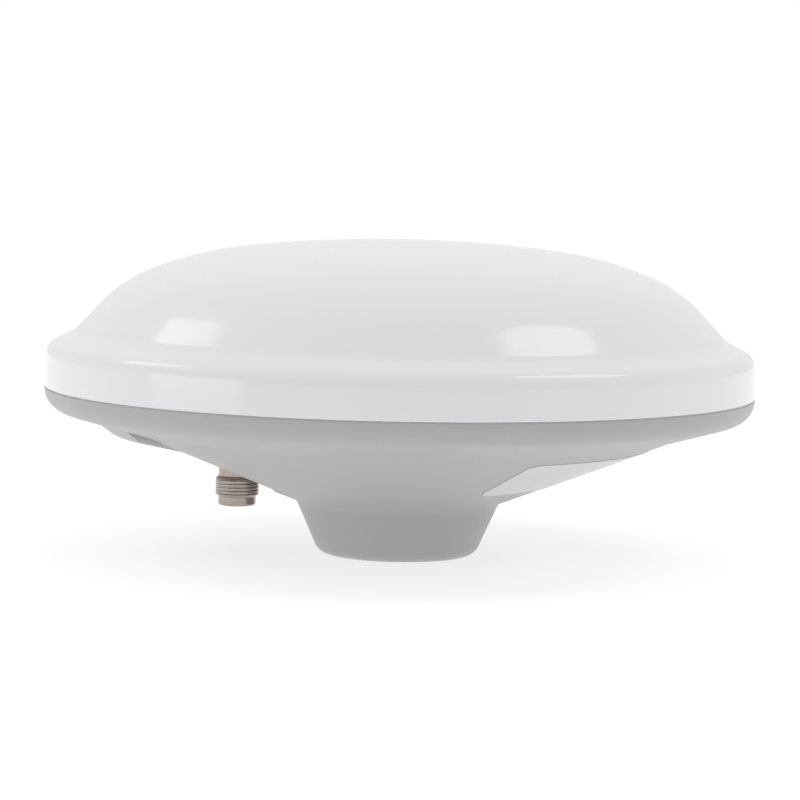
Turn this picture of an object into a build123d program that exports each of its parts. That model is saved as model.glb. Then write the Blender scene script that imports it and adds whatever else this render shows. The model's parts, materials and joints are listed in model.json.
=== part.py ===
from build123d import *
import math
import os

# Survey antenna for satellite positioning.
# A moulded cover is bonded over a cast conical base. The hub of the base holds a threaded
# mast socket, and a coaxial jack points down beside it. The patch aerials, the ground plane
# and the amplifier board are sealed inside.
# Units are millimetres. Z points up, and z = 0 is the hub face that lands on the mast.

# Clearances
loose_fit = 0.3
close_fit = 0.05
screw_hole_fit = 0.2

# Rim joint between cover and base
rim_radius = 90.0
parting_height = 42.0
seal_thickness = 0.3
seal_recess = 0.3
lap_depth = 2.5
lap_wall = 2.8

# Cover, walked from the rim inwards to the crown
cover_wall = 2.4
rim_draft = 1.4
rim_band_height = 8.7
shoulder_radius = 2.6
shoulder_inner_radius = 0.8
flange_slope = 25.7
flange_length = 4.5
foot_radius = 8.4
flank_slope = 47.4
flank_length = 7.1
haunch_radius = 38.5
haunch_slope = 21.2
crown_edge_radius = 93.5
crown_slope = 6.5
tongue_wall = 2.0
tongue_land = 3.0

# Base casting
base_wall = 2.6
hub_foot_radius = 19.9
hub_foot_rounding = 4.0
hub_neck_radius = 25.9
hub_neck_height = 13.6
hub_neck_rounding = 3.0
bowl_break_inset = 18.5
bowl_break_rounding = 20.0
rim_slope = 16.1
rim_rounding = 6.0
rim_land = 0.1
hub_floor_height = 10.0
cavity_rounding = 2.0

# Facet cast into the bowl round the jack, less steep than the bowl
facet_sweep_angle = 63.0
facet_slope = 12.6
facet_cross_gap = 9.5
facet_overrun = 1.7
facet_end_slope = 35.0
facet_end_length = 6.0
facet_rounding = 1.5

# Mast socket for a 5/8-11 stud
socket_bore_radius = 6.75
socket_bore_depth = 16.0
socket_mouth_chamfer = 1.2
socket_wall = 4.25
socket_cap_wall = 2.8
socket_flange_width = 6.5
socket_flange_thickness = 3.0
socket_gasket_thickness = 0.8
socket_screw_count = 4

# Coaxial jack, axis along Z
jack_offset = 41.0
jack_seat_drop = 16.8
jack_reach = 13.6
jack_thread_radius = 5.55
jack_thread_length = 5.4
jack_nose_radius = 4.8
jack_nose_length = 2.2
jack_nose_rounding = 0.5
jack_flange_radius = 7.5
jack_flange_thickness = 2.0
jack_flange_rounding = 0.3
jack_gasket_thickness = 0.8
jack_socket_radius = 4.06
jack_socket_depth = 8.4
jack_core_radius = 3.2
jack_stem_radius = 4.76
jack_stem_above_nut = 0.5
jack_tail_radius = 1.8
jack_tail_length = 1.0
jack_back_wall = 1.3
pocket_clearance = 1.5
insulator_nose_radius = 2.4
insulator_nose_length = 5.4
contact_radius = 1.05
contact_hole_radius = 0.68
contact_hole_depth = 4.0
contact_recess = 0.4
contact_pin_radius = 0.5
lock_washer_radius = 7.4
lock_washer_thickness = 0.6
lock_washer_teeth = 8
lock_washer_notch = 1.4
nut_across_flats = 12.7
nut_thickness = 3.0

# Coaxial pigtail from the jack to the board
pigtail_radius = 0.9
pigtail_bend = 4.0
pigtail_overlap = 14.0

# Amplifier board and what it carries
board_length = 74.0
board_width = 64.0
board_corner = 5.0
board_thickness = 1.6
board_gap = 0.5
board_screw_inset = 4.5
board_post_radius = 4.0
can_length = 52.0
can_width = 40.0
can_height = 5.0
can_wall = 0.5
can_corner = 1.5
filter_size = (12.0, 7.0, 3.0)
filter_pitch = 10.0
filter_count = 2
amplifier_size = (3.0, 3.0, 1.0)
amplifier_pitch = 8.0
amplifier_count = 4
coupler_size = (9.0, 6.0, 1.8)
coupler_pitch = 26.0
coupler_count = 3
row_shift = 16.0

# Ground plane
plane_gap = 2.9
plane_thickness = 1.5
plane_rise = 4.0
plane_screw_inset = 8.0
plane_post_radius = 4.0
plane_screw_count = 6

# Patch aerials and their supports
patch_thickness = 1.0
lower_patch_radius = 58.0
lower_patch_rise = 10.0
lower_notch = (3.0, 10.0)
upper_patch_radius = 42.0
upper_patch_rise = 9.0
upper_notch = (2.0, 7.0)
notch_count = 4
feed_circle = 20.0
feed_count = 4
feed_pin_radius = 0.75
feed_pin_stub = 0.7
bushing_radius = 2.9
bushing_collar_radius = 4.0
bushing_collar_height = 1.0
post_lower_radius = 6.0
post_upper_radius = 4.0
lower_spacer_inset = 12.0
lower_spacer_radius = 3.5
upper_spacer_inset = 12.0
upper_spacer_radius = 3.0
spacer_count = 4
spigot_radius = 1.5
spigot_stub = 0.7

# Cap screws with a hexagon key hole
small_screw_radius = 1.5
small_screw_length = 6.0
small_head_radius = 2.75
small_head_height = 2.0
small_key_flats = 2.5
post_screw_radius = 2.0
post_screw_length = 7.0
post_head_radius = 3.5
post_head_height = 2.4
post_key_flats = 3.0
screw_end_room = 1.0

# Blank label on the bowl
label_inner_radius = 39.5
label_break_gap = 7.1
label_start_angle = -60.0
label_sweep_angle = 60.0
label_thickness = 0.15


class Outline:
    """Walks over radius and height in straight runs and round bends that stay tangent."""

    def __init__(self, radius, height, heading):
        self.here = Vector(radius, height)
        self.heading = heading
        self.edges = []

    def straight(self, length):
        ahead = self.here + Vector(length, 0).rotate(Axis.Z, self.heading)
        self.edges.append(Line(self.here, ahead))
        self.here = ahead

    def bend(self, radius, turn):
        """Turn left by a positive angle, or right by a negative one."""
        to_centre = self.heading + math.copysign(90, turn)
        centre = self.here + Vector(radius, 0).rotate(Axis.Z, to_centre)
        middle = centre - Vector(radius, 0).rotate(Axis.Z, to_centre + turn / 2)
        end = centre - Vector(radius, 0).rotate(Axis.Z, to_centre + turn)
        self.edges.append(ThreePointArc(self.here, middle, end))
        self.here = end
        self.heading += turn


def turned(face, sweep=360):
    """Revolve a drawing of radius and height about the Z axis."""
    return revolve(Plane.XZ * face, Axis.Z, sweep)


def turned_polygon(*corners, sweep=360):
    """Revolve a closed outline of sharp (radius, height) corners."""
    return turned(make_face(Polyline(*corners, close=True)), sweep)


def turned_corners(*corners):
    """Revolve a closed outline of (radius, height, rounding) corners."""
    points = [(radius, height) for radius, height, rounding in corners]
    roundings = [rounding for radius, height, rounding in corners]
    return turned(make_face(FilletPolyline(*points, radius=roundings, close=True)))


def rod(radius, bottom, top):
    align = (Align.CENTER, Align.CENTER, Align.MIN)
    return Pos(0, 0, bottom) * Cylinder(radius, top - bottom, align=align)


def tube(outer, inner, bottom, top):
    return rod(outer, bottom, top) - rod(inner, bottom, top)


def block(size, bottom):
    length, width, height = size
    align = (Align.CENTER, Align.CENTER, Align.MIN)
    return Pos(0, 0, bottom) * Box(length, width, height, align=align)


def circle_of(count, radius, first=0.0):
    """Places evenly spaced on a circle, each turned to face outwards."""
    return [Rot(0, 0, first + step * 360 / count) * Pos(radius, 0, 0) for step in range(count)]


def row_of(count, pitch, x):
    """Places in a row along Y, centred on the X axis."""
    return [Pos(x, (step - (count - 1) / 2) * pitch, 0) for step in range(count)]


def copies(places, solid):
    return Part() + [place * solid for place in places]


def hexagon(across_flats):
    return RegularPolygon(across_flats / 2, 6, major_radius=False)


def cap_screw(shank_radius, shank_length, head_radius, head_height, key_flats):
    """Screw pointing down, whose head bears on z = 0. The key hole is half the head deep."""
    body = rod(head_radius, 0, head_height) + rod(shank_radius, -shank_length, 0)
    return body - Pos(0, 0, head_height / 2) * extrude(hexagon(key_flats), head_height)


def blind_hole(seat, plate_thickness):
    """Hole below a seat for a small screw that first passes a plate on that seat."""
    depth = small_screw_length - plate_thickness + screw_end_room
    return rod(small_screw_radius + close_fit, seat - depth, seat)


# Heights and radii at the rim
cover_bottom = parting_height + seal_thickness / 2
base_top = parting_height - seal_thickness / 2
lap_radius = rim_radius - lap_wall
lap_height = base_top - lap_depth
tongue_outer = lap_radius - loose_fit
tongue_inner = tongue_outer - tongue_wall

# Outline of the bowl, from its corner at the rim down to the hub's neck
rim_bend = rim_rounding * math.tan(math.radians((90 - rim_slope) / 2))
rim_corner_height = base_top - rim_land - rim_bend
rim_gradient = math.tan(math.radians(rim_slope))
bowl_break_radius = rim_radius - bowl_break_inset
bowl_break_height = rim_corner_height - bowl_break_inset * rim_gradient
bowl_gradient = (bowl_break_height - hub_neck_height) / (bowl_break_radius - hub_neck_radius)


def bowl_height(radius):
    """Height of the outside of the bowl at a radius between the hub and the rim."""
    if radius < bowl_break_radius:
        return hub_neck_height + (radius - hub_neck_radius) * bowl_gradient
    return bowl_break_height + (radius - bowl_break_radius) * rim_gradient


# Mast socket
socket_body_radius = socket_bore_radius + socket_wall
socket_flange_radius = socket_body_radius + socket_flange_width
socket_cap_radius = socket_bore_radius + socket_cap_wall
socket_screw_circle = (socket_body_radius + socket_flange_radius) / 2
socket_flange_bottom = hub_floor_height + socket_gasket_thickness
socket_flange_top = socket_flange_bottom + socket_flange_thickness

# Jack, from its seat in the pocket down to its end and up to its tail
jack_seat_height = parting_height - jack_seat_drop
jack_end_height = jack_seat_height - jack_reach
jack_socket_top = jack_end_height + jack_socket_depth
pocket_radius = jack_flange_radius + pocket_clearance
facet_cross_radius = bowl_break_radius - facet_cross_gap
facet_inner_radius = jack_offset - pocket_radius
jack_wall_top = jack_seat_height + base_wall
nut_bottom = jack_wall_top + lock_washer_thickness
jack_stem_top = nut_bottom + nut_thickness + jack_stem_above_nut
jack_tail_top = jack_stem_top + jack_tail_length
jack_core_top = jack_stem_top - jack_back_wall
insulator_nose_bottom = jack_socket_top - insulator_nose_length
contact_bottom = insulator_nose_bottom + contact_recess

# Board, ground plane and patches, stacked from the pigtail's level run upwards
pigtail_height = jack_tail_top + pigtail_bend
board_top = pigtail_height - pigtail_radius - close_fit
board_bottom = board_top - board_thickness
board_edge = lock_washer_radius + board_gap - jack_offset
board_shift = board_edge + board_length / 2
plane_radius = tongue_inner - plane_gap
plane_bottom = board_top + plane_rise
plane_top = plane_bottom + plane_thickness
lower_patch_bottom = plane_top + lower_patch_rise
lower_patch_top = lower_patch_bottom + patch_thickness
upper_patch_bottom = lower_patch_top + upper_patch_rise
upper_patch_top = upper_patch_bottom + patch_thickness

# Where things stand. Rows that must miss each other start at different angles.
jack_place = Pos(-jack_offset, 0, 0)
board_place = Pos(board_shift, 0, 0)
socket_screw_places = circle_of(socket_screw_count, socket_screw_circle, 45)
plane_screw_places = circle_of(
    plane_screw_count, plane_radius - plane_screw_inset, 180 / plane_screw_count)
feed_places = circle_of(feed_count, feed_circle, 45)
lower_spacer_places = circle_of(spacer_count, lower_patch_radius - lower_spacer_inset, 45)
upper_spacer_places = circle_of(spacer_count, upper_patch_radius - upper_spacer_inset)
board_screw_places = [
    Pos(board_shift + x * (board_length / 2 - board_screw_inset),
        y * (board_width / 2 - board_screw_inset), 0)
    for x in (-1, 1) for y in (-1, 1)
]
small_screw = cap_screw(
    small_screw_radius, small_screw_length, small_head_radius, small_head_height, small_key_flats)
post_screw = cap_screw(
    post_screw_radius, post_screw_length, post_head_radius, post_head_height, post_key_flats)


# Cover
def cover_form(inset, shoulder):
    """Solid inside of the cover's outline, moved inwards by the inset.

    The shoulder has its own radius, so the runs beside it lose what a larger bend takes up.
    """
    draft = math.radians(rim_draft)
    start = (rim_radius - inset * math.cos(draft), cover_bottom - inset * math.sin(draft))
    shoulder_turn = 90 - rim_draft - flange_slope
    taken_up = (shoulder + inset - shoulder_radius) * math.tan(math.radians(shoulder_turn / 2))
    walk = Outline(*start, 90 + rim_draft)
    walk.straight(rim_band_height - taken_up)
    walk.bend(shoulder, shoulder_turn)
    walk.straight(flange_length - taken_up)
    walk.bend(foot_radius + inset, flange_slope - flank_slope)
    walk.straight(flank_length)
    walk.bend(haunch_radius - inset, flank_slope - haunch_slope)
    walk.bend(crown_edge_radius - inset, haunch_slope - crown_slope)
    crown_radius = walk.here.X / math.sin(math.radians(crown_slope))
    walk.bend(crown_radius, crown_slope)
    closing = Polyline(walk.here, (0, start[1]), start)
    return turned(make_face([*walk.edges, *closing.edges()]))


def make_radome():
    shell = cover_form(0, shoulder_radius) - cover_form(cover_wall, shoulder_inner_radius)
    wall_middle = rim_radius - cover_wall / 2
    tongue_bottom = lap_height + close_fit
    land_top = cover_bottom + tongue_land
    tongue = turned_polygon(
        (tongue_inner, tongue_bottom),
        (tongue_outer, tongue_bottom),
        (tongue_outer, cover_bottom),
        (wall_middle, cover_bottom),
        (wall_middle, land_top + wall_middle - tongue_inner),
        (tongue_inner, land_top),
    )
    return shell + tongue


def make_rim_seal():
    return tube(rim_radius - seal_recess, lap_radius, base_top, cover_bottom)


# Base casting
def base_outside():
    return turned_corners(
        (0, 0, 0),
        (hub_foot_radius, 0, hub_foot_rounding),
        (hub_neck_radius, hub_neck_height, hub_neck_rounding),
        (bowl_break_radius, bowl_break_height, bowl_break_rounding),
        (rim_radius, rim_corner_height, rim_rounding),
        (rim_radius, base_top, 0),
        (0, base_top, 0),
    )


def base_cavity():
    bowl_rise = base_wall * math.hypot(1, bowl_gradient)
    rim_rise = base_wall * math.hypot(1, rim_gradient)
    hub_room = socket_flange_radius + loose_fit
    ledge_radius = tongue_inner - loose_fit
    return turned_corners(
        (0, hub_floor_height, 0),
        (hub_room, hub_floor_height, 0),
        (hub_room, bowl_height(hub_room) + bowl_rise, cavity_rounding),
        (bowl_break_radius, bowl_break_height + bowl_rise, bowl_break_rounding),
        (ledge_radius, bowl_height(ledge_radius) + rim_rise, 0),
        (ledge_radius, lap_height, 0),
        (lap_radius, lap_height, 0),
        (lap_radius, base_top, 0),
        (0, base_top, 0),
    )


def facet_height(radius):
    """Height of the facet, which crosses the bowl's own slope at one radius."""
    gradient = math.tan(math.radians(facet_slope))
    return bowl_height(facet_cross_radius) + (radius - facet_cross_radius) * gradient


def facet_sector(*corners):
    """Revolve (radius, height) corners over the facet's own sweep, about the jack's side."""
    start = Rot(0, 0, 180 - facet_sweep_angle / 2)
    return start * turned_polygon(*corners, sweep=facet_sweep_angle)


def facet_boss():
    """Part of the facet that stands proud of the bowl, with a sloped outer end."""
    outer_radius = bowl_break_radius + facet_overrun
    outer_height = facet_height(outer_radius)
    end_height = outer_height + facet_end_length * math.tan(math.radians(facet_end_slope))
    boss = facet_sector(
        (facet_cross_radius, facet_height(facet_cross_radius)),
        (outer_radius, outer_height),
        (outer_radius + facet_end_length, end_height),
        (facet_cross_radius, end_height),
    )
    lower_edges = boss.edges().filter_by(
        lambda edge: edge.center().Z < (outer_height + end_height) / 2
        and math.hypot(edge.center().X, edge.center().Y) > facet_cross_radius
    )
    return fillet(lower_edges, facet_rounding)


def facet_floor():
    """Wall behind the sunk part of the facet, wider than it by the wall on each side."""
    rise = base_wall / math.cos(math.radians(facet_slope))
    inner_radius = facet_inner_radius - base_wall
    floor = facet_sector(
        (inner_radius, hub_neck_height),
        (facet_cross_radius, hub_neck_height),
        (facet_cross_radius, facet_height(facet_cross_radius) + rise),
        (inner_radius, facet_height(inner_radius) + rise),
    )
    side = base_wall / facet_inner_radius * 180 / math.pi
    return floor + Rot(0, 0, side) * floor + Rot(0, 0, -side) * floor


def facet_sink():
    """Room below the facet where it lies deeper than the bowl."""
    return facet_sector(
        (facet_inner_radius, hub_neck_height),
        (facet_cross_radius, hub_neck_height),
        (facet_cross_radius, facet_height(facet_cross_radius)),
        (facet_inner_radius, facet_height(facet_inner_radius)),
    )


def make_base_housing():
    outside = base_outside()
    posts = copies(board_screw_places, rod(board_post_radius, 0, board_bottom))
    posts += copies(plane_screw_places, rod(plane_post_radius, 0, plane_bottom))
    posts += jack_place * rod(pocket_radius + base_wall, 0, jack_wall_top)
    base = outside - base_cavity() + ((posts + facet_floor()) & outside)
    base += facet_boss() - base_cavity()
    base -= facet_sink()
    base -= rod(socket_body_radius + close_fit, 0, hub_floor_height)
    base -= copies(
        socket_screw_places, blind_hole(hub_floor_height, socket_flange_top - hub_floor_height))
    base -= copies(plane_screw_places, blind_hole(plane_bottom, plane_thickness))
    base -= copies(board_screw_places, blind_hole(board_bottom, board_thickness))
    base -= jack_place * rod(pocket_radius, 0, jack_seat_height)
    base -= jack_place * rod(jack_stem_radius + close_fit, jack_seat_height, jack_wall_top)
    return base - jack_place * rod(lock_washer_radius + loose_fit, jack_wall_top, base_top)


# Mast socket
def make_mast_socket():
    cap_top = socket_bore_depth + socket_cap_wall
    socket = turned_polygon(
        (0, socket_bore_depth),
        (socket_bore_radius, socket_bore_depth),
        (socket_bore_radius, socket_mouth_chamfer),
        (socket_bore_radius + socket_mouth_chamfer, 0),
        (socket_body_radius, 0),
        (socket_body_radius, socket_flange_bottom),
        (socket_flange_radius, socket_flange_bottom),
        (socket_flange_radius, socket_flange_top),
        (socket_cap_radius, socket_flange_top),
        (socket_cap_radius, cap_top),
        (0, cap_top),
    )
    hole = rod(small_screw_radius + screw_hole_fit, socket_flange_bottom, socket_flange_top)
    return socket - copies(socket_screw_places, hole)


def make_socket_gasket():
    ring = tube(socket_flange_radius, socket_body_radius + close_fit,
                hub_floor_height, socket_flange_bottom)
    hole = rod(small_screw_radius + screw_hole_fit, hub_floor_height, socket_flange_bottom)
    return ring - copies(socket_screw_places, hole)


def make_socket_screws():
    return copies(socket_screw_places, Pos(0, 0, socket_flange_top) * small_screw)


# Coaxial jack
def make_jack_shell():
    flange_top = jack_seat_height - jack_gasket_thickness
    flange_bottom = flange_top - jack_flange_thickness
    thread_bottom = jack_end_height + jack_nose_length
    thread_top = thread_bottom + jack_thread_length
    tail_bore_radius = pigtail_radius + close_fit
    return jack_place * turned_corners(
        (jack_socket_radius, jack_end_height, 0),
        (jack_nose_radius, jack_end_height, jack_nose_rounding),
        (jack_nose_radius, thread_bottom, 0),
        (jack_thread_radius, thread_bottom, 0),
        (jack_thread_radius, thread_top, 0),
        (jack_nose_radius, thread_top, 0),
        (jack_nose_radius, flange_bottom, 0),
        (jack_flange_radius, flange_bottom, jack_flange_rounding),
        (jack_flange_radius, flange_top, 0),
        (jack_stem_radius, flange_top, 0),
        (jack_stem_radius, jack_stem_top, 0),
        (jack_tail_radius, jack_stem_top, 0),
        (jack_tail_radius, jack_tail_top, 0),
        (tail_bore_radius, jack_tail_top, 0),
        (tail_bore_radius, jack_core_top, 0),
        (jack_core_radius, jack_core_top, 0),
        (jack_core_radius, jack_socket_top, 0),
        (jack_socket_radius, jack_socket_top, 0),
    )


def make_jack_insulator():
    contact_bore = contact_radius + close_fit
    pin_bore = contact_pin_radius + close_fit
    body_radius = jack_core_radius - close_fit
    return jack_place * turned_polygon(
        (contact_bore, insulator_nose_bottom),
        (insulator_nose_radius, insulator_nose_bottom),
        (insulator_nose_radius, jack_socket_top),
        (body_radius, jack_socket_top),
        (body_radius, jack_core_top),
        (pin_bore, jack_core_top),
        (pin_bore, jack_socket_top),
        (contact_bore, jack_socket_top),
    )


def make_jack_contact():
    contact = rod(contact_radius, contact_bottom, jack_socket_top)
    contact += rod(contact_pin_radius, jack_socket_top, jack_core_top)
    contact -= rod(contact_hole_radius, contact_bottom, contact_bottom + contact_hole_depth)
    return jack_place * contact


def make_jack_gasket():
    bottom = jack_seat_height - jack_gasket_thickness
    return jack_place * tube(
        jack_flange_radius, jack_stem_radius + close_fit, bottom, jack_seat_height)


def make_jack_lock_washer():
    ring = tube(lock_washer_radius, jack_stem_radius + close_fit, jack_wall_top, nut_bottom)
    notch = block((lock_washer_notch, lock_washer_notch, lock_washer_thickness), jack_wall_top)
    return jack_place * (ring - copies(circle_of(lock_washer_teeth, lock_washer_radius), notch))


def make_jack_nut():
    nut = Pos(0, 0, nut_bottom) * extrude(hexagon(nut_across_flats), nut_thickness)
    return jack_place * (nut - rod(jack_stem_radius + close_fit, nut_bottom, jack_stem_top))


def make_coax_pigtail():
    """Coax from the jack's tail, round one bend, to its landing on the board's top."""
    route = [
        (-jack_offset, 0, jack_core_top),
        (-jack_offset, 0, pigtail_height),
        (board_edge + pigtail_overlap, 0, pigtail_height),
    ]
    path = FilletPolyline(*route, radius=pigtail_bend)
    start = Pos(*route[0]) * Circle(pigtail_radius)
    return sweep(start, path)


# Amplifier board
def make_lna_board():
    outline = RectangleRounded(board_length, board_width, board_corner)
    board = board_place * Pos(0, 0, board_bottom) * extrude(outline, board_thickness)
    holes = rod(small_screw_radius + screw_hole_fit, board_bottom, board_top)
    board -= copies(board_screw_places, holes)
    return board - copies(feed_places, rod(feed_pin_radius + close_fit, board_bottom, board_top))


def make_board_screws():
    return copies(board_screw_places, Pos(0, 0, board_top) * small_screw)


def make_shield_can():
    """Folded can under the board, open towards it."""
    bottom = board_bottom - can_height
    outside = extrude(RectangleRounded(can_length, can_width, can_corner), can_height)
    hollow_corner = can_corner - can_wall
    hollow_outline = RectangleRounded(
        can_length - 2 * can_wall, can_width - 2 * can_wall, hollow_corner)
    hollow = Pos(0, 0, can_wall) * extrude(hollow_outline, can_height)
    return board_place * Pos(0, 0, bottom) * (outside - hollow)


def make_lna_filters():
    places = row_of(filter_count, filter_pitch, 0)
    return board_place * copies(places, block(filter_size, board_bottom - filter_size[2]))


def make_lna_amplifiers():
    places = row_of(amplifier_count, amplifier_pitch, row_shift)
    chip = block(amplifier_size, board_bottom - amplifier_size[2])
    return board_place * copies(places, chip)


def make_phase_couplers():
    places = row_of(coupler_count, coupler_pitch, row_shift)
    return board_place * copies(places, block(coupler_size, board_top))


# Ground plane
def make_ground_plane():
    plane = rod(plane_radius, plane_bottom, plane_top)
    screw_holes = rod(small_screw_radius + screw_hole_fit, plane_bottom, plane_top)
    plane -= copies(plane_screw_places, screw_holes)
    plane -= copies(feed_places, rod(bushing_radius + close_fit, plane_bottom, plane_top))
    plane -= copies(lower_spacer_places, rod(spigot_radius + close_fit, plane_bottom, plane_top))
    return plane - rod(post_screw_radius + screw_hole_fit, plane_bottom, plane_top)


def make_plane_screws():
    return copies(plane_screw_places, Pos(0, 0, plane_top) * small_screw)


# Patch aerials and their supports
def patch(radius, bottom, notch, holes):
    """Round plate with tuning notches in its edge and the given (places, radius) holes."""
    top = bottom + patch_thickness
    plate = rod(radius, bottom, top)
    notch_width, notch_depth = notch
    cutter = block((2 * notch_depth, notch_width, patch_thickness), bottom)
    plate -= copies(circle_of(notch_count, radius), cutter)
    for places, hole_radius in holes:
        plate -= copies(places, rod(hole_radius, bottom, top))
    return plate


def make_lower_patch():
    return patch(lower_patch_radius, lower_patch_bottom, lower_notch, [
        (lower_spacer_places, spigot_radius + close_fit),
        (upper_spacer_places, spigot_radius + close_fit),
        (feed_places, feed_pin_radius + close_fit),
        ([Pos(0, 0, 0)], post_upper_radius + close_fit),
    ])


def make_upper_patch():
    return patch(upper_patch_radius, upper_patch_bottom, upper_notch, [
        (upper_spacer_places, spigot_radius + close_fit),
        ([Pos(0, 0, 0)], post_screw_radius + screw_hole_fit),
    ])


def spacer(radius, bottom, top, below, above):
    """Nylon pillar with a spigot at each end that passes a plate."""
    return rod(radius, bottom, top) + rod(spigot_radius, bottom - below, top + above)


def make_lower_spacers():
    pillar = spacer(lower_spacer_radius, plane_top, lower_patch_bottom,
                    plane_thickness, patch_thickness + spigot_stub)
    return copies(lower_spacer_places, pillar)


def make_upper_spacers():
    pillar = spacer(upper_spacer_radius, lower_patch_top, upper_patch_bottom,
                    patch_thickness, patch_thickness + spigot_stub)
    return copies(upper_spacer_places, pillar)


def make_centre_post():
    post = rod(post_lower_radius, plane_top, lower_patch_bottom)
    post += rod(post_upper_radius, lower_patch_bottom, upper_patch_bottom)
    hole_radius = post_screw_radius + close_fit
    hole_depth = post_screw_length + screw_end_room
    post -= rod(hole_radius, plane_top, plane_top + hole_depth - plane_thickness)
    return post - rod(hole_radius, upper_patch_top - hole_depth, upper_patch_bottom)


def make_post_screws():
    lower_screw = Pos(0, 0, plane_bottom) * Rot(180, 0, 0) * post_screw
    return lower_screw + Pos(0, 0, upper_patch_top) * post_screw


def make_feed_pins():
    pin = rod(feed_pin_radius, board_bottom - feed_pin_stub, lower_patch_top + feed_pin_stub)
    return copies(feed_places, pin)


def make_feed_bushings():
    bushing = rod(bushing_radius, plane_bottom, plane_top)
    bushing += rod(bushing_collar_radius, plane_top, plane_top + bushing_collar_height)
    bore = rod(feed_pin_radius + close_fit, plane_bottom, plane_top + bushing_collar_height)
    return copies(feed_places, bushing - bore)


# Blank label
def make_label_blank():
    """Sector of thin sheet that lies on the bowl's cone."""
    drop = label_thickness * math.hypot(1, bowl_gradient)
    outer_radius = bowl_break_radius - label_break_gap
    inner_height = bowl_height(label_inner_radius)
    outer_height = bowl_height(outer_radius)
    sector = turned_polygon(
        (label_inner_radius, inner_height),
        (outer_radius, outer_height),
        (outer_radius, outer_height - drop),
        (label_inner_radius, inner_height - drop),
        sweep=label_sweep_angle,
    )
    return Rot(0, 0, label_start_angle) * sector


nodes = {
    "radome": make_radome(),
    "rim_seal": make_rim_seal(),
    "base_housing": make_base_housing(),
    "mast_socket": make_mast_socket(),
    "socket_gasket": make_socket_gasket(),
    "socket_screws": make_socket_screws(),
    "jack_shell": make_jack_shell(),
    "jack_insulator": make_jack_insulator(),
    "jack_contact": make_jack_contact(),
    "jack_gasket": make_jack_gasket(),
    "jack_lock_washer": make_jack_lock_washer(),
    "jack_nut": make_jack_nut(),
    "coax_pigtail": make_coax_pigtail(),
    "lna_board": make_lna_board(),
    "board_screws": make_board_screws(),
    "shield_can": make_shield_can(),
    "lna_filters": make_lna_filters(),
    "lna_amplifiers": make_lna_amplifiers(),
    "phase_couplers": make_phase_couplers(),
    "ground_plane": make_ground_plane(),
    "plane_screws": make_plane_screws(),
    "lower_patch": make_lower_patch(),
    "upper_patch": make_upper_patch(),
    "lower_spacers": make_lower_spacers(),
    "upper_spacers": make_upper_spacers(),
    "centre_post": make_centre_post(),
    "post_screws": make_post_screws(),
    "feed_pins": make_feed_pins(),
    "feed_bushings": make_feed_bushings(),
    "label_blank": make_label_blank(),
}

os.makedirs("parts", exist_ok=True)
for name, solid in nodes.items():
    export_step(solid, f"parts/{name}.step")
    print(name, "volume", round(solid.volume, 1), "mm3")
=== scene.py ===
# %% [markdown]
# # A survey antenna, dressed for its portrait
# The construction of the antenna comes in as a fixed frame: every solid is already at its real size
# and place. This lesson gives those solids their finishes, and swaps the ones that show most for
# finer surfaces, worked out with numpy. We keep the size of the frame from the start, so that we
# can prove at the end that dressing the part did not make it grow.

# %% Load the frame
import json
import math

import bmesh
import bpy
import numpy as np
from mathutils import Matrix, Vector


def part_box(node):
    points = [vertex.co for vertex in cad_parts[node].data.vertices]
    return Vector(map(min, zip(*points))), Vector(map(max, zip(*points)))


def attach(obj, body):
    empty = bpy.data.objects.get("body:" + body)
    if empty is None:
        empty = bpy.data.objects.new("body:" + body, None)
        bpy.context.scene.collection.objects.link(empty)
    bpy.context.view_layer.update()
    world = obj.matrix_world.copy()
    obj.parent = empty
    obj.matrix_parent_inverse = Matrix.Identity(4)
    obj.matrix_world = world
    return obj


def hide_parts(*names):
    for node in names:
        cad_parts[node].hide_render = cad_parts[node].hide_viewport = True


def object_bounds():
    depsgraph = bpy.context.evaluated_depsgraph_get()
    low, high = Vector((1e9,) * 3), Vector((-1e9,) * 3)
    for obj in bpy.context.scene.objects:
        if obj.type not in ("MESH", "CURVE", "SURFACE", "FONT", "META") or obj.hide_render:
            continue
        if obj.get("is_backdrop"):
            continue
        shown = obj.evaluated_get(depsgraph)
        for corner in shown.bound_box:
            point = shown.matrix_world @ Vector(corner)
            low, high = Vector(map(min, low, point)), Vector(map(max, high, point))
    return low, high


MM = 0.001
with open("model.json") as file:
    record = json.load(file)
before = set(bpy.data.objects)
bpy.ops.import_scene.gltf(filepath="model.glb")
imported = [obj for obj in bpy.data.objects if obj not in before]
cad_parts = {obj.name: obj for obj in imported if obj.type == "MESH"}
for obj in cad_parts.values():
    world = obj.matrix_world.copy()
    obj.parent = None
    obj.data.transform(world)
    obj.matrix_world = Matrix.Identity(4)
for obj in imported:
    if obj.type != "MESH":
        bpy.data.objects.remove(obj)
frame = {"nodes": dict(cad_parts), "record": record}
cad_box = [list(corner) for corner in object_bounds()]
nodes = frame["nodes"]
print("solids in the frame:", len(nodes))

# %% [markdown]
# ## The camera
# A long lens from a little above the horizon makes the rim a very flat ellipse, as in a catalogue
# photograph. The view is built from three directions at right angles (right, up and back) rather
# than from angles, because the photograph is also tipped by about one degree and a tip is easy to
# add there: the right and up directions turn together about the line of sight.

# %% Camera
camera_distance = 850 * MM
camera_rise = math.radians(5.0)
camera_tip = math.radians(1.16)
aim = Vector((0, 0, 40 * MM))
picture_width = 800
focal_pixels = 3338
aim_pixel = (399.6, 397.0)

level_right = Vector((1, 0, 0))
level_up = Vector((0, math.sin(camera_rise), math.cos(camera_rise)))
back = Vector((0, -math.cos(camera_rise), math.sin(camera_rise)))
right = level_right * math.cos(camera_tip) + level_up * math.sin(camera_tip)
up = level_up * math.cos(camera_tip) - level_right * math.sin(camera_tip)

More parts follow.
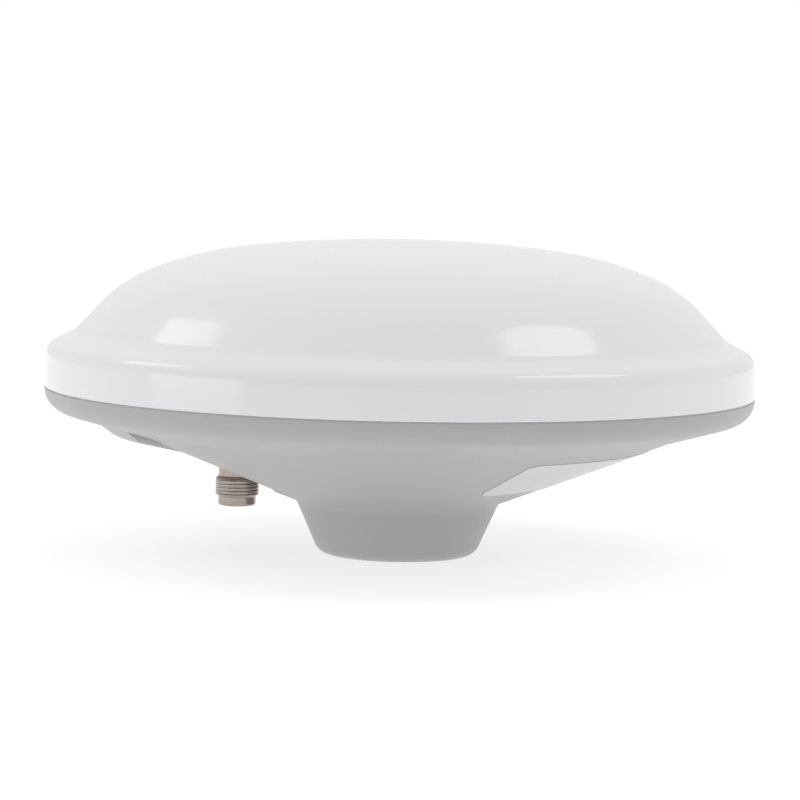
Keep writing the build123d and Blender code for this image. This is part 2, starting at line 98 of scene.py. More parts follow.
camera_data = bpy.data.cameras.new("portrait_camera")
camera_data.sensor_width = 36
camera_data.lens = camera_data.sensor_width * focal_pixels / picture_width
camera_data.shift_x = (picture_width / 2 - aim_pixel[0]) / picture_width
camera_data.shift_y = (aim_pixel[1] - picture_width / 2) / picture_width
camera_data.clip_start = 0.01
camera = bpy.data.objects.new("portrait_camera", camera_data)
bpy.context.scene.collection.objects.link(camera)
turn = Matrix((right, up, back)).transposed().to_4x4()
camera.matrix_world = Matrix.Translation(aim + back * camera_distance) @ turn
bpy.context.scene.camera = camera
print("lens:", round(camera_data.lens, 1), "mm")

# %% [markdown]
# ## Outlines as complex numbers
# Nearly every piece here is turned, so its shape is one outline in radius and height. A complex
# number holds such a point: its real part is the radius and its imaginary part is the height. Then
# turning a direction is one product with exp(i angle), and a whole outline is made at once, as an
# array. Lengths are in millimetres until a mesh is made.

# %% Outline helpers
same_place = 1e-6


def rounded(corners, steps=7):
    """Closed outline through (radius, height, rounding) corners.

    At a corner of turn A and rounding R the arc starts R tan(A / 2) before the corner. Its centre
    lies R to the inner side, and each point of it is the centre plus a spoke turned by t A.
    """
    radius, height, rounding = np.array(corners, float).T
    points = radius + 1j * height
    arriving = points - np.roll(points, 1)
    leaving = np.roll(points, -1) - points
    turn = np.angle(leaving / arriving)
    along = arriving / abs(arriving)
    start = points - along * rounding * np.tan(abs(turn) / 2)
    spoke = -1j * np.sign(turn) * along * rounding
    share = np.linspace(0, 1, steps)
    arcs = (start - spoke)[:, None] + spoke[:, None] * np.exp(1j * np.outer(turn, share))
    return distinct(arcs.ravel())


def distinct(outline):
    """Drop points that repeat the one before them."""
    return outline[abs(outline - np.roll(outline, 1)) > same_place]


def walk(start, heading, legs, steps):
    """Line walked in legs, each a length and a turn in degrees.

    After the share t of a leg of length L and turn A, the walker is L t sinc(A t / 2) from where
    the leg began, towards heading + A t / 2. That is the chord of an arc, or a straight line.
    """
    length, turn = np.array(legs).T
    turn = np.radians(turn)
    first_heading = np.radians(heading) + np.cumsum(turn) - turn
    share = np.linspace(0, 1, steps)[:, None]
    half_turn = turn * share / 2
    reach = length * share * np.sinc(half_turn / np.pi) * np.exp(1j * (first_heading + half_turn))
    leg_start = start + np.cumsum(reach[-1]) - reach[-1]
    return distinct((leg_start + reach).T.ravel())


def turned(outline, sides, axis=0.0, relief=0.0):
    """Grid of points: the outline carried round a vertical axis.

    A point of radius r and height z goes to (axis + r cos a, r sin a, z) for each angle a. The
    relief is added to r, and may change with both the row and the angle.
    """
    angle = np.arange(sides) * 2 * np.pi / sides
    radius = outline.real[:, None] + relief + 0 * angle
    height = outline.imag[:, None] + 0 * angle
    return np.stack([axis + radius * np.cos(angle), radius * np.sin(angle), height], -1)


print("a left turn of radius 1 ends at", walk(0, 0, [(math.pi / 2, 90)], 5)[-1].round(3))

# %% [markdown]
# ## From grid to mesh
# A closed outline carried round an axis is a grid whose rows and columns both meet their own first
# one, like the skin of a ring. Where the outline touches the axis, a whole row falls on one point,
# so the doubles are merged and the quads there become triangles. Where two such rows meet, their
# quads shrink to one bare edge on the axis, which is deleted. No open edge is left when the skin is
# closed, and its signed volume is above zero when its faces point outwards.

# %% Mesh helper
merge_distance = 1e-7


def make_piece(name, node, grid, sharp=35):
    """Mesh from a grid that closes on itself both ways. It stands for a solid of the frame."""
    rows, columns = grid.shape[:2]
    index = np.arange(rows * columns).reshape(rows, columns)
    index = np.pad(index, ((0, 1), (0, 1)), mode="wrap")
    quads = np.stack([index[:-1, :-1], index[:-1, 1:], index[1:, 1:], index[1:, :-1]], -1)
    data = bpy.data.meshes.new(name)
    data.from_pydata(grid.reshape(-1, 3) * MM, [], quads.reshape(-1, 4).tolist())
    shape = bmesh.new()
    shape.from_mesh(data)
    bmesh.ops.remove_doubles(shape, verts=shape.verts, dist=merge_distance)
    bare_edges = [edge for edge in shape.edges if edge.is_wire]
    bmesh.ops.delete(shape, geom=bare_edges, context="EDGES")
    if shape.calc_volume(signed=True) < 0:
        bmesh.ops.reverse_faces(shape, faces=shape.faces)
    open_edges = sum(not edge.is_manifold for edge in shape.edges)
    volume = shape.calc_volume(signed=True) / MM ** 3
    shape.to_mesh(data)
    shape.free()
    data.shade_smooth()
    data.set_sharp_from_angle(angle=math.radians(sharp))
    piece = bpy.data.objects.new(name, data)
    bpy.context.scene.collection.objects.link(piece)
    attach(piece, "root")
    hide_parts(node)
    slot = slots[node]
    data.materials.append(finishes[slot])
    print(f"{name}: {len(data.polygons)} faces, {volume:.0f} mm3, open edges {open_edges}")


slots = {part["node"]: part["material_slot"] for part in frame["record"]["subparts"]}
print("slots named by the record:", len(set(slots.values())))

# %% [markdown]
# ## Writing materials as sums
# A material is a graph of nodes, and long graphs are hard to read. One small class wraps a socket
# and lets us write shader maths as ordinary sums and products; each operator adds its Math node.
# A second class holds the material itself. Its one method for all other nodes takes the node's
# type, then its settings, then the values or links of its sockets.

# %% Sockets that do sums
class Signal:
    """One output of a node. Sums and products with it add Math nodes to its graph."""

    def __init__(self, graph, socket):
        self.graph = graph
        self.socket = socket

    def combine(self, operation, first, second=0.0):
        return self.graph.node("ShaderNodeMath", {"operation": operation}, {0: first, 1: second})

    def __add__(self, other):
        return self.combine("ADD", self, other)

    def __sub__(self, other):
        return self.combine("SUBTRACT", self, other)

    def __rsub__(self, other):
        return self.combine("SUBTRACT", other, self)

    def __mul__(self, other):
        return self.combine("MULTIPLY", self, other)

    def __pow__(self, other):
        return self.combine("POWER", self, other)

    __radd__ = __add__
    __rmul__ = __mul__

    def sine(self):
        return self.combine("SINE", self)

    def step(self, low, high):
        """0 below low, 1 above high, and an even slope between them."""
        return self.graph.node(
            "ShaderNodeMapRange", None, {"Value": self, "From Min": low, "From Max": high})


class Graph:
    """The nodes of a material or a surround, written as sums."""

    def __init__(self, owner, coordinates):
        owner.use_nodes = True
        self.tree = owner.node_tree
        self.place = self.node("ShaderNodeTexCoord", output=coordinates)

    def plug(self, socket, value):
        if isinstance(value, Signal):
            self.tree.links.new(value.socket, socket)
        else:
            socket.default_value = value

    def node(self, kind, settings=None, inputs=None, output=0):
        made = self.tree.nodes.new(kind)
        for name, value in (settings or {}).items():
            setattr(made, name, value)
        for name, value in (inputs or {}).items():
            self.plug(made.inputs[name], value)
        return Signal(self, made.outputs[output])

    def axes(self):
        """The X, Y and Z of the place being shaded, in metres."""
        return [self.node("ShaderNodeSeparateXYZ", None, {0: self.place}, axis) for axis in "XYZ"]


class Finish(Graph):
    """A material whose one surface is plastic, paint or metal."""

    def __init__(self, name):
        self.material = bpy.data.materials.new(name)
        super().__init__(self.material, "Object")
        self.surface = self.tree.nodes["Principled BSDF"]

    def set(self, **sockets):
        """Give the surface its values: base_color=..., roughness=... and so on."""
        for name, value in sockets.items():
            title = " ".join(word.capitalize() for word in name.split("_"))
            self.plug(self.surface.inputs[title.replace("Ior", "IOR")], value)

    def noise(self, scale, detail=2.0):
        """Cloudy pattern from 0 to 1, with the given number of cells to the metre."""
        return self.node("ShaderNodeTexNoise", None,
                         {"Vector": self.place, "Scale": scale, "Detail": detail})

    def blend(self, share, first, second):
        """A colour between two colours."""
        return self.node("ShaderNodeMix", {"data_type": "RGBA"},
                         {0: share, 6: first, 7: second}, output=2)

    def relief(self, height, depth, strength=1.0):
        """Bump of the given depth in metres, fed to the surface's normal."""
        bump = self.node("ShaderNodeBump", None,
                         {"Height": height, "Distance": depth, "Strength": strength})
        self.plug(self.surface.inputs["Normal"], bump)


def grey(level, warmth=0.0):
    """A nearly grey colour. A positive warmth adds red and takes away blue."""
    return (level * (1 + warmth), level, level * (1 - warmth), 1.0)


def tint(level):
    """A white with a trace of violet, as this plastic has."""
    return (level * 1.004, level * 0.990, level * 1.012, 1.0)


print("a warm middle grey:", grey(0.5, 0.1))

# %% [markdown]
# ## Gloss white cover
# The cover is moulded in white plastic and left glossy. Such a surface is never a perfect mirror:
# the skin has a faint swell, a few millimetres across, that makes long reflections waver, and its
# gloss changes a little from place to place. Both are far too small to model as shape, so they
# go into the normal and the roughness.

# %% Cover finish
def cover_finish():
    finish = Finish("cover_gloss")
    cloud = finish.noise(9.0)
    finish.set(
        base_color=finish.blend(cloud, tint(cover_tone), tint(cover_tone * 1.02)),
        roughness=0.10 + 0.05 * finish.noise(60.0),
        ior=1.49,
    )
    finish.relief(finish.noise(180.0, detail=1.0), depth=0.00002, strength=0.30)
    return finish.material


cover_tone = 0.77
print("cover tone:", cover_tone)

# %% [markdown]
# ## Satin paint on the base
# The casting is painted light grey. Paint dries into a fine, soft grain; here one fine noise is the
# grain and a broad one shifts the tone by up to 3 percent, as a sprayed coat does. A light rub
# of wear would show first on the foot of the hub, where the antenna stands when it is off its mast,
# so the gloss rises a little there.

# %% Base finish
def base_finish():
    finish = Finish("base_satin_paint")
    cloud = finish.noise(14.0)
    height = finish.axes()[2]
    rubbed = 1 - height.step(0.0, 1.5 * MM)
    finish.set(
        base_color=finish.blend(cloud, grey(base_tone), grey(base_tone * 1.03)),
        roughness=0.40 + 0.08 * finish.noise(90.0) - 0.10 * rubbed,
        ior=1.5,
    )
    finish.relief(finish.noise(1600.0), depth=0.00003, strength=0.25)
    return finish.material


base_tone = 0.41
print("base tone:", base_tone)

# %% [markdown]
# ## Turned metal
# A lathe leaves fine rings round the axis of a part. The distance from the axis, taken with the
# height, goes through a sine: that is a set of fine grooves, the same on every side of the part.

# %% Metal finishes
def opaque(colour, share=1.0):
    """The colour at a share of its brightness, with nothing showing through."""
    return tuple(channel * share for channel in colour) + (1.0,)


def turned_metal_finish(name, colour, roughness, axis_x=0.0, rings=9000.0, depth=0.000004):
    """Metal with lathe rings about a vertical axis that stands at the given X, in metres."""
    finish = Finish(name)
    x, y, height = finish.axes()
    across = x - axis_x
    distance = (across * across + y * y) ** 0.5
    finish.set(
        base_color=finish.blend(finish.noise(400.0), opaque(colour), opaque(colour, 0.85)),
        metallic=1.0,
        roughness=roughness + 0.10 * finish.noise(700.0),
    )
    finish.relief(((distance + height) * rings).sine(), depth, strength=0.4)
    return finish.material


def plain_metal_finish(name, colour, roughness):
    """Rolled or plated metal with a soft cloud in its tone and gloss."""
    finish = Finish(name)
    finish.set(
        base_color=finish.blend(finish.noise(60.0), opaque(colour), opaque(colour, 0.88)),
        metallic=1.0,
        roughness=roughness + 0.12 * finish.noise(300.0),
    )
    finish.relief(finish.noise(2500.0), depth=0.00001, strength=0.3)
    return finish.material


print("half as bright as gold:", opaque((0.8, 0.6, 0.3), 0.5))

# %% [markdown]
# ## Everything that is not metal
# Seals, insulators, the board and the label share one recipe: a colour that drifts a little
# between two tones, a gloss that drifts with it, and a fine grain in the normal.

# %% Plain finishes
def plain_finish(name, colour, second_colour, roughness, cells=40.0, grain=2000.0, depth=0.00002):
    finish = Finish(name)
    finish.set(
        base_color=finish.blend(finish.noise(cells), colour, second_colour),
        roughness=roughness + 0.08 * finish.noise(cells * 5),
    )
    finish.relief(finish.noise(grain), depth, strength=0.4)
    return finish.material


jack_low, jack_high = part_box("jack_shell")
jack_axis = (jack_low[0] + jack_high[0]) / 2
finishes = {
    "radome_gloss": cover_finish(),
    "base_paint": base_finish(),
    "seal_rubber": plain_finish("seal_grey", grey(0.42), grey(0.46), 0.6),
    "socket_steel": turned_metal_finish("socket_stainless", (0.62, 0.61, 0.59), 0.25),
    "screw_steel": plain_metal_finish("screw_bright", (0.60, 0.60, 0.59), 0.25),
    "jack_plate": turned_metal_finish(
        "jack_nickel", (0.45, 0.385, 0.35), 0.18, jack_axis, rings=16000.0, depth=0.000003),
    "white_insulator": plain_finish("insulator_white", grey(0.80), grey(0.76, 0.02), 0.35),
    "contact_gold": plain_metal_finish("contact_gold", (0.83, 0.62, 0.28), 0.2),
    "cable_jacket": plain_finish("jacket_brown", (0.30, 0.14, 0.05, 1), (0.36, 0.18, 0.07, 1), 0.3),
    "board_green": plain_finish("board_green", (0.02, 0.12, 0.05, 1), (0.03, 0.16, 0.07, 1), 0.3),
    "can_tin": plain_metal_finish("can_tin", (0.70, 0.70, 0.68), 0.3),
    "filter_ceramic": plain_finish("ceramic_pale", grey(0.60, 0.05), grey(0.55, 0.06), 0.4),
    "chip_black": plain_finish("chip_black", grey(0.015), grey(0.025), 0.5),
    "sheet_aluminium": plain_metal_finish("aluminium_mill", (0.77, 0.78, 0.79), 0.3),
    "label_film": plain_finish("label_film", grey(0.60), grey(0.615), 0.3),
}
print("finishes:", len(finishes))

# %% [markdown]
# ## Solids that keep their shape
# Each solid of the frame gets the finish that the record names for it, and its mesh is left alone.

# %% Dress the frame's solids
for name, solid in nodes.items():
    solid.data.materials.clear()
    solid.data.materials.append(finishes[slots[name]])
print("dressed:", len(nodes))

# %% [markdown]
# ## The cover
# The real cover is one moulding. From the rim it goes up a short upright band, round a shoulder,
# over a sloping flange, through a hollow foot and up onto the dome. Every run meets the next
# without a kink, which is why long reflections cross it unbroken. A walker that only goes straight
# or turns evenly makes just such a line. Here are its legs: lengths and radii in millimetres, and
# slopes in degrees. The rim's radius and height come from the frame.

# %% Cover sizes
cover_low, cover_high = (Vector(corner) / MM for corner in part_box("radome"))
base_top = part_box("base_housing")[1][2] / MM
seal_thickness = (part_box("rim_seal")[1][2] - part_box("rim_seal")[0][2]) / MM
rim_radius = cover_high[0]
cover_bottom = base_top + seal_thickness
cover_wall = 2.4
rim_draft = 1.4
rim_band_height = 8.7
rim_edge_rounding = 0.25
shoulder_radius = 2.6
shoulder_soft_radius = 4.0
shoulder_inner_radius = 0.8
flange_slope = 25.7
flange_length = 4.5
foot_radius = 8.4
flank_slope = 47.4
flank_length = 7.1
haunch_radius = 38.5
haunch_slope = 21.2
crown_edge_radius = 93.5
crown_slope = 6.5
tongue_outer = 86.9
tongue_inner = 84.9
tongue_bottom = cover_low[2]
tongue_land = 3.0
cover_sides = 288
print("the cover's rim is", round(2 * rim_radius, 1), "mm across")

# %% [markdown]
# The same walk serves for both faces of the wall. Moving the line inwards changes the radius of
# each bend by the wall's thickness, and leaves every slope as it is. A softer shoulder takes up a
# little of the straight runs on both sides of it, as any larger rounding of a corner does.

# %% Cover line
def cover_line(inset, shoulder, steps):
    """The cover's outline, moved inwards by the inset, from the rim to the crown."""
    draft = math.radians(rim_draft)
    start = complex(rim_radius - inset * math.cos(draft), cover_bottom - inset * math.sin(draft))
    shoulder_turn = 90 - rim_draft - flange_slope
    taken_up = (shoulder + inset - shoulder_radius) * math.tan(math.radians(shoulder_turn / 2))
    bends = np.array([
        (shoulder, shoulder_turn),
        (foot_radius + inset, flange_slope - flank_slope),
        (haunch_radius - inset, flank_slope - haunch_slope),
        (crown_edge_radius - inset, haunch_slope - crown_slope),
    ])
    arcs = np.stack([bends[:, 0] * abs(np.radians(bends[:, 1])), bends[:, 1]], -1)
    legs = [(rim_band_height - taken_up, 0), arcs[0], (flange_length - taken_up, 0),
            arcs[1], (flank_length, 0), arcs[2], arcs[3]]
    line = walk(start, 90 + rim_draft, legs, steps)[1:]
    line = np.concatenate([[start], line[abs(line - start) > same_place]])
    crown_turn = math.radians(crown_slope)
    crown_length = line[-1].real / math.sin(crown_turn) * crown_turn
    crown = walk(line[-1], 180 - crown_slope, [(crown_length, crown_slope)], 2 * steps)
    return np.concatenate([line, crown[1:-1], [1j * crown[-1].imag]])


outside = cover_line(0, shoulder_soft_radius, steps=12)
inside = cover_line(cover_wall, shoulder_inner_radius, steps=6)
print("points outside and inside:", len(outside), len(inside))

# %% [markdown]
# A tongue below the rim locates the cover in the base. The inner wall runs down onto a sloping
# land, which leads to the tongue, and the rim's lower edge is broken by a small rounding. With
# these the outline is closed, and it can be carried round the axis.

# %% Cover
draft_gradient = math.tan(math.radians(rim_draft))
land_drop = cover_bottom + tongue_land - tongue_inner
wall_foot = inside[0].real + (inside[0].imag - land_drop) * draft_gradient
meeting_radius = wall_foot / (1 + draft_gradient)
tongue = [
    complex(meeting_radius, meeting_radius + land_drop),
    complex(tongue_inner, cover_bottom + tongue_land),
    complex(tongue_inner, tongue_bottom),
    complex(tongue_outer, tongue_bottom),
    complex(tongue_outer, cover_bottom),
    complex(rim_radius - rim_edge_rounding, cover_bottom),
]
edge_turn = np.linspace(-90, 0, 5)[1:]
edge_centre = complex(rim_radius - rim_edge_rounding, cover_bottom + rim_edge_rounding)
edge = edge_centre + rim_edge_rounding * np.exp(1j * np.radians(edge_turn))
cover_outline = np.concatenate([edge, outside[1:], inside[:0:-1], tongue])
make_piece("cover_shell", "radome", turned(cover_outline, cover_sides))

# %% [markdown]
# ## The seal in the seam
# Cover and base don't touch: a bead of grey sealant fills the seam and stops a little short of the
# surface. It swells a little past the frame's plain ring. At this scale it is a hairline, but
# without its shadow the two mouldings read as one.

# %% Seal
seal_low, seal_high = (Vector(corner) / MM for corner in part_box("rim_seal"))
seal_gap = 0.3
seal_swell = 0.2
seal_inner = tongue_outer + seal_gap
seal_outer = seal_high[0] + seal_swell
seal_outline = rounded([
    (seal_inner, seal_low[2], 0),
    (seal_outer, seal_low[2], 0.05),
    (seal_outer, seal_high[2], 0.05),
    (seal_inner, seal_high[2], 0),
], 4)
make_piece("seam_seal", "rim_seal", turned(seal_outline, cover_sides))

# %% [markdown]
# ## A thread is a relief
# A screw thread is a ridge that climbs one pitch for each turn. On a grid of heights and angles
# its phase is height / pitch - angle / full turn, and the ridge is a triangle wave of that phase
# with its crests and roots cut flat. Two ramps bring the relief up and down at the ends of the
# thread, where a real die or tap runs in and out.

# %% Thread helper
thread_root = 0.88


def thread_relief(heights, sides, pitch, depth, bottom, top, run_out, crest=0.12):
    """Depth of a thread below its crests for each height and angle, from 0 to the full depth.

    The wave is 1 - |2 phase - 1|, cut flat below the crest's share and above the root's, and
    stretched to run from 0 to 1. A ramp multiplies it, which rises over the run-out from the
    bottom and falls over the same length to the top.
    """
    angle = np.arange(sides) / sides
    phase = (heights[:, None] / pitch - angle) % 1
    wave = np.clip((1 - abs(2 * phase - 1) - crest) / (thread_root - crest), 0, 1)
    ramp = np.clip(np.minimum(heights - bottom, top - heights) / run_out, 0, 1)
    return depth * wave * ramp[:, None]


def with_rows(outline, radius, bottom, top, rows):
    """Outline whose upright run at a radius is divided into even rows."""
    first = np.argmin(abs(outline - complex(radius, bottom)))
    last = np.argmin(abs(outline - complex(radius, top)))
    run = radius + 1j * np.linspace(bottom, top, rows)
    if first < last:
        return np.concatenate([outline[:first], run, outline[last + 1:]])
    return np.concatenate([outline[:last], run[::-1], outline[first + 1:]])


one_pitch = thread_relief(np.linspace(0, 1, 9), 1, 1.0, 1.0, -1, 2, 0.1)
print("depth along one pitch, from crest to crest:", one_pitch[:, 0].round(2))

# %% [markdown]
# ## The coaxial jack
# The jack is turned from brass and nickel plated. Below its flange are a bare neck, the thread that
# takes the plug's coupling nut, and a plain nose. The thread is cut with chamfered ends, and the
# nose has a rounded lip, so that a plug finds its way on. In the photograph the thread's outline is
# nearly straight, so its grooves here are shallow and its crests broad.

# %% Jack sizes
jack_end, jack_stem_top = jack_low[2] / MM, jack_high[2] / MM
jack_socket_radius = 4.06
jack_socket_depth = 8.4
jack_nose_radius = 4.8
jack_nose_length = 2.2
jack_thread_radius = 5.55
jack_thread_length = 5.4
jack_thread_pitch = 25.4 / 28
jack_thread_depth = 0.15
jack_thread_crest = 0.45
jack_flange_radius = 7.5
jack_reach = 10.8
jack_flange_thickness = 2.0
jack_stem_radius = 4.76
jack_tail_length = 1.0
jack_tail_radius = 1.8
jack_core_radius = 3.2
jack_back_wall = 1.3
jack_bore_radius = 0.95
jack_thread_rows = 73
jack_run_out = 0.15
jack_sides = 160
print("jack thread:", 2 * jack_thread_radius, "mm across, pitch", round(jack_thread_pitch, 3))

# %% [markdown]
# The outline starts at the lip and goes out along the nose, the thread, the flange and the stem
# inside the base, and comes back through the bore. Each corner has its own rounding. Only the
# points on the thread's crest get the relief, so we first add enough rows there to show a groove.

# %% Jack
stem_end = jack_stem_top - jack_tail_length
core_top = stem_end - jack_back_wall
thread_bottom = jack_end + jack_nose_length
thread_top = thread_bottom + jack_thread_length
jack_flange_bottom = jack_end + jack_reach
flange_top = jack_flange_bottom + jack_flange_thickness
socket_top = jack_end + jack_socket_depth
jack_thread_chamfer = jack_thread_radius - jack_nose_radius
jack_outline = rounded([
    (jack_socket_radius, jack_end, 0.2),
    (jack_nose_radius, jack_end, 0.6),
    (jack_nose_radius, thread_bottom, 0),
    (jack_thread_radius, thread_bottom + jack_thread_chamfer, 0),
    (jack_thread_radius, thread_top - jack_thread_chamfer, 0),
    (jack_nose_radius, thread_top, 0),
    (jack_nose_radius, jack_flange_bottom, 0.2),
    (jack_flange_radius, jack_flange_bottom, 0.3),
    (jack_flange_radius, flange_top, 0.2),
    (jack_stem_radius, flange_top, 0),
    (jack_stem_radius, stem_end, 0.3),
    (jack_tail_radius, stem_end, 0),
    (jack_tail_radius, jack_stem_top, 0.2),
    (jack_bore_radius, jack_stem_top, 0),
    (jack_bore_radius, core_top, 0),
    (jack_core_radius, core_top, 0),
    (jack_core_radius, socket_top, 0),
    (jack_socket_radius, socket_top, 0),
], 5)
crest_bottom = thread_bottom + jack_thread_chamfer
crest_top = thread_top - jack_thread_chamfer
jack_outline = with_rows(
    jack_outline, jack_thread_radius, crest_bottom, crest_top, jack_thread_rows)
on_thread = abs(jack_outline.real - jack_thread_radius) < same_place
jack_relief = np.where(on_thread, -1.0, 0.0)[:, None] * thread_relief(
    jack_outline.imag, jack_sides, jack_thread_pitch, jack_thread_depth,
    crest_bottom, crest_top, jack_run_out, jack_thread_crest)
make_piece("jack_body", "jack_shell",
           turned(jack_outline, jack_sides, jack_axis / MM, jack_relief), sharp=40)

# %% [markdown]
# ## The mast socket
# The antenna screws onto a mast stud of 5/8 inch with 11 threads to the inch. Only the mouth of
# the socket shows, from below, so its thread is real geometry as well: light falls into it from
# the side, and a flat picture of a thread would look painted there. The frame's bore has the
# thread's minor radius, so here the grooves are cut outwards from it.

# %% Mast socket
socket_high = Vector(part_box("mast_socket")[1]) / MM
socket_bore_radius = 6.75
socket_bore_depth = 16.0
socket_mouth_chamfer = 1.2
socket_body_radius = 11.0
socket_cap_radius = 9.55
socket_flange_radius = socket_high[0]
socket_flange_bottom = 10.8
socket_flange_top = 13.8
socket_thread_pitch = 25.4 / 11
socket_thread_depth = 1.19
socket_thread_rows = 97
socket_thread_end = socket_bore_depth - 2.0
socket_run_out = 0.8
socket_sides = 144

socket_outline = rounded([
    (0, socket_bore_depth, 0),
    (socket_bore_radius, socket_bore_depth, 0),
    (socket_bore_radius, socket_mouth_chamfer, 0),
    (socket_bore_radius + socket_mouth_chamfer, 0, 0.1),
    (socket_body_radius, 0, 0.3),
    (socket_body_radius, socket_flange_bottom, 0.2),
    (socket_flange_radius, socket_flange_bottom, 0.3),
    (socket_flange_radius, socket_flange_top, 0.3),
    (socket_cap_radius, socket_flange_top, 0.5),
    (socket_cap_radius, socket_high[2], 0.8),
    (0, socket_high[2], 0),
], 5)
socket_outline = with_rows(
    socket_outline, socket_bore_radius, socket_mouth_chamfer, socket_bore_depth,
    socket_thread_rows)
in_bore = abs(socket_outline.real - socket_bore_radius) < same_place
socket_relief = np.where(in_bore, 1.0, 0.0)[:, None] * thread_relief(
    socket_outline.imag, socket_sides, socket_thread_pitch, socket_thread_depth,
    socket_mouth_chamfer, socket_thread_end, socket_run_out)
make_piece("mast_bush", "mast_socket",
           turned(socket_outline, socket_sides, relief=socket_relief), sharp=40)

# %% [markdown]
# ## The label
# A bare film label lies on the bowl of the base. Its place and its real sides come from the
# frame's solid: the box of that solid gives the outer radius, the inner one, and the height of the
# bowl at its outer edge.

# %% Label sizes
label_low, label_high = (Vector(corner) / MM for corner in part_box("label_blank"))
label_start = -60.0
label_sweep = 60.0
label_inner_radius = label_low[0] / math.cos(math.radians(label_start))
label_outer_radius = label_high[0]
hub_neck = complex(25.9, 13.6)
bowl_edge = complex(label_outer_radius, label_high[2])
label_thickness = 0.15
label_corner = 3.0
print("label from radius", round(label_inner_radius, 2), "to", round(label_outer_radius, 2), "mm")

# %% [markdown]
# The bowl is a cone, and a cone unrolls flat. So the label is drawn flat, as a rectangle with round
# corners, and then laid on the cone: one side runs along the slope and the other round the axis.
# Rings from its middle to its rim, on top and again below, close it into one thin sheet.

# %% Label
def label_grid(rings, steps):
    """Points of the film. The parameters are the share of the way out and the place on the rim.

    The rim is a flat rectangle with round corners, walked once round. Flat u runs round the cone
    and v along its slope. On the cone they become an angle, u / middle radius, and a radius.
    """
    slope = (bowl_edge - hub_neck) / abs(bowl_edge - hub_neck)
    middle_radius = (label_inner_radius + label_outer_radius) / 2
    long_side = math.radians(label_sweep) * middle_radius - 2 * label_corner
    short_side = (label_outer_radius - label_inner_radius) / slope.real - 2 * label_corner
    bend = (label_corner * math.pi / 2, 90)
    start = complex(long_side / 2 + label_corner, -short_side / 2)
    rim = walk(start, 90, [(short_side, 0), bend, (long_side, 0), bend] * 2, steps)
    share = np.sin(np.linspace(0, np.pi / 2, rings))
    flat = np.outer(np.concatenate([share, share[::-1]]), rim)
    drop = np.repeat([1.0, 0.0], rings)[:, None] * label_thickness
    angle = math.radians(label_start + label_sweep / 2) + flat.real / middle_radius
    along = (middle_radius - hub_neck.real) / slope.real + flat.imag
    profile = hub_neck + slope * along - 1j * slope * drop
    return np.stack([profile.real * np.cos(angle), profile.real * np.sin(angle), profile.imag], -1)


make_piece("label_film", "label_blank", label_grid(rings=24, steps=20), sharp=60)

# %% [markdown]
# ## The studio
# A pale floor and a white surround with no horizon. The surround is darker low down on the camera's
# side, which gives the front of the rim its quiet grey, and a soft box on each side leaves a broad
# pale patch on the dome. The floor glows, so that it stays nearly white where the antenna shades
# it, and lights the bowl from below.

# %% Floor
floor_radius = 4.0
floor_sides = 96
floor_tone = 0.42
floor_glow = 0.68


def make_floor():
    """Round floor at the height of the hub's foot."""
    data = bpy.data.meshes.new("floor")
    shape = bmesh.new()
    bmesh.ops.create_circle(shape, cap_ends=True, segments=floor_sides, radius=floor_radius)
    shape.to_mesh(data)
    shape.free()
    floor = bpy.data.objects.new("floor", data)
    bpy.context.scene.collection.objects.link(floor)
    finish = Finish("floor_pale")
    finish.set(base_color=grey(floor_tone), roughness=0.9, specular_ior_level=0.0,
               emission_color=grey(1.0), emission_strength=floor_glow)
    data.materials.append(finish.material)
    floor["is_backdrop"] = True


make_floor()
print("floor:", 2 * floor_radius, "m across")

# %% [markdown]
# ## Soft boxes
# A gloss dome is a mirror, and what it mirrors is chosen by direction: from the picture we know
# where a pale patch lies on the dome, from the dome's slope there we know which way the light must
# come. So each lamp is placed by the two directions between which its upper edge lies, seen from
# the front of the antenna. A lamp adds its radiance to the surround behind it.

# %% Soft boxes
light_centre = Vector((0, -65 * MM, 60 * MM))


def towards(azimuth, rise):
    """Unit vector. The azimuth is measured from the camera's side towards +X, in degrees."""
    azimuth, rise = math.radians(azimuth), math.radians(rise)
    level = Vector((math.sin(azimuth), -math.cos(azimuth), 0))
    return level * math.cos(rise) + Vector((0, 0, math.sin(rise)))


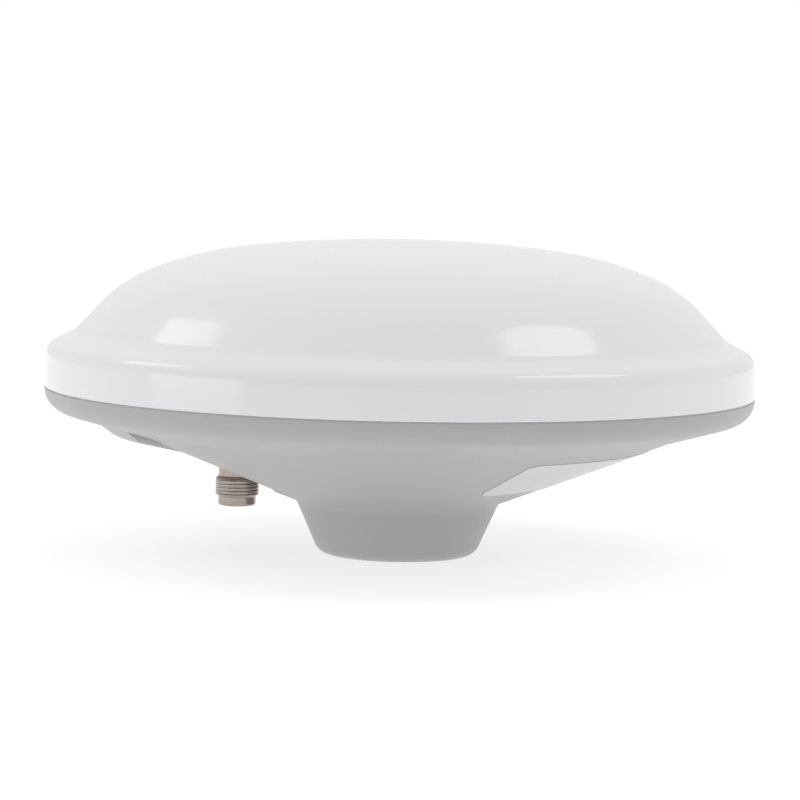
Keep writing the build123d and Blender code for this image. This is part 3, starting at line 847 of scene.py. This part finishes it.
def make_light(name, first, last, width, distance, radiance, shape="RECTANGLE"):
    """Flat lamp that faces the antenna. Its upper edge reaches from one direction to another.

    Seen under the angle A from the distance D, that edge is 2 D tan(A / 2) long. A flat lamp of
    area S and radiance R gives off pi S R watts. S is the area of the rectangle here, so an
    ellipse in it, which gets the same watts, is 4 / pi times as bright.
    """
    first, last = towards(*first), towards(*last)
    length = 2 * distance * math.tan(first.angle(last) / 2)
    data = bpy.data.lights.new(name, "AREA")
    data.shape = shape
    data.size, data.size_y = length, width
    data.energy = math.pi * length * width * radiance
    lamp = bpy.data.objects.new(name, data)
    lamp.visible_camera = False
    bpy.context.scene.collection.objects.link(lamp)
    away = (first + last).normalized()
    along = (last - first).normalized()
    upwards = away.cross(along)
    if upwards.z < 0:
        along, upwards = -along, -upwards
    turn = Matrix((along, upwards, away)).transposed().to_4x4()
    middle = light_centre + away * distance - upwards * width / 2
    lamp.matrix_world = Matrix.Translation(middle) @ turn
    print(f"{name}: {length:.2f} by {width:.2f} m, {data.energy:.2f} W")


make_light("left_soft_box", (-127, 39), (-110, 53), width=0.50, distance=2.0, radiance=1.9)
make_light("left_strip", (-135, 48), (-49, 48), width=0.80, distance=2.0, radiance=0.25)
make_light("right_soft_box", (79, 73), (118, 49), width=0.60, distance=2.0, radiance=1.9,
           shape="ELLIPSE")
make_light("low_left_soft_box", (-85, 5), (-52, 5), width=0.09, distance=0.55, radiance=1.6)

# %% [markdown]
# ## The surround
# The world gives most of the light. Its brightness depends on direction alone, which the texture
# coordinates give as X, Y and Z, so the two shades are written as sums of slopes.

# %% Surround
surround_brightness = 1.0
horizon_shade = 0.18
front_shade = 0.78
shade_heights = (-0.1, 0.9)
shade_depths = (-1.0, 0.3)


def make_surround():
    """White overhead and behind, shaded low down, and most of all on the camera's side.

    The shade is an even horizon shade plus a front shade that fades from the camera's side to a
    little behind the antenna. Both fade from just below the horizon upwards. The camera itself
    sees plain white.
    """
    world = bpy.data.worlds.new("studio")
    graph = Graph(world, "Generated")
    _, y, height = graph.axes()
    low = 1 - height.step(*shade_heights)
    front = 1 - y.step(*shade_depths)
    shade = (horizon_shade + front_shade * front) * low
    seen = graph.node("ShaderNodeLightPath", output="Is Camera Ray")
    background = graph.tree.nodes["Background"]
    background.inputs["Color"].default_value = grey(1.0)
    graph.plug(background.inputs["Strength"], surround_brightness - shade * (1 - seen))
    bpy.context.scene.world = world


make_surround()
bpy.context.scene.view_settings.view_transform = "Standard"
print("surround:", surround_brightness, "and", horizon_shade + front_shade, "less low down in front")

# %% [markdown]
# ## Close
# The size of the dressed antenna is set beside the size of the frame.

# %% Close the script
dressed_box = [list(corner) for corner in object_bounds()]
growth = max(abs(a - b) for low, high in zip(cad_box, dressed_box) for a, b in zip(low, high))
print("largest change of size:", round(growth / MM, 3), "mm")
